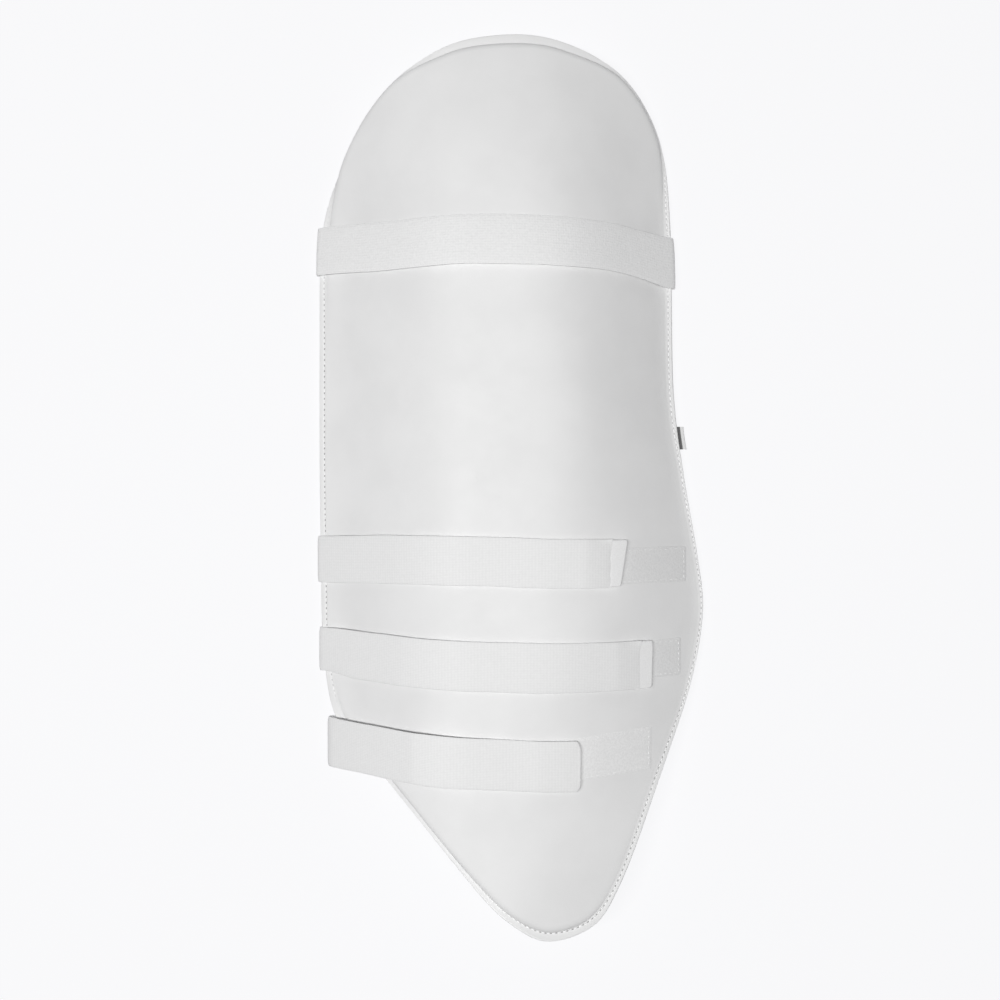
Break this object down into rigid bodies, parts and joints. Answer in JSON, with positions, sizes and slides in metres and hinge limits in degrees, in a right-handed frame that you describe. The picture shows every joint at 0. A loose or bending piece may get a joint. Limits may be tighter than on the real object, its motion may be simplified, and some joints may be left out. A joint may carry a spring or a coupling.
{
  "type": "cricket thigh pad",
  "caption": "Moulded white thigh guard bent round the front of the leg, with a sewn edge, a woven top band and elastic leg straps that fasten on its outer face.",
  "frame": {"origin": "on the floor under the middle of the whole pad", "axes": "+X across the thigh to the right of the picture, +Y up the thigh towards the domed end, +Z out of the outer face"},
  "size_m": [0.1886, 0.4242, 0.0557],
  "materials": {
    "cover": "smooth matt white synthetic leather",
    "elastic": "white woven elastic",
    "tape": "white hook and loop tape",
    "tag": "dark grey woven tape"
  },
  "bodies": {
    "root": {"pad_shell": "cover", "top_band": "elastic", "leg_strap_upper": "elastic", "leg_strap_middle": "elastic", "leg_strap_lower": "elastic", "hook_tab_upper": "tape", "hook_tab_middle": "tape", "hook_tab_lower": "tape", "loop_patch_upper": "tape", "loop_patch_middle": "tape", "loop_patch_lower": "tape", "seam_tag": "tag"}
  },
  "joints": []
}
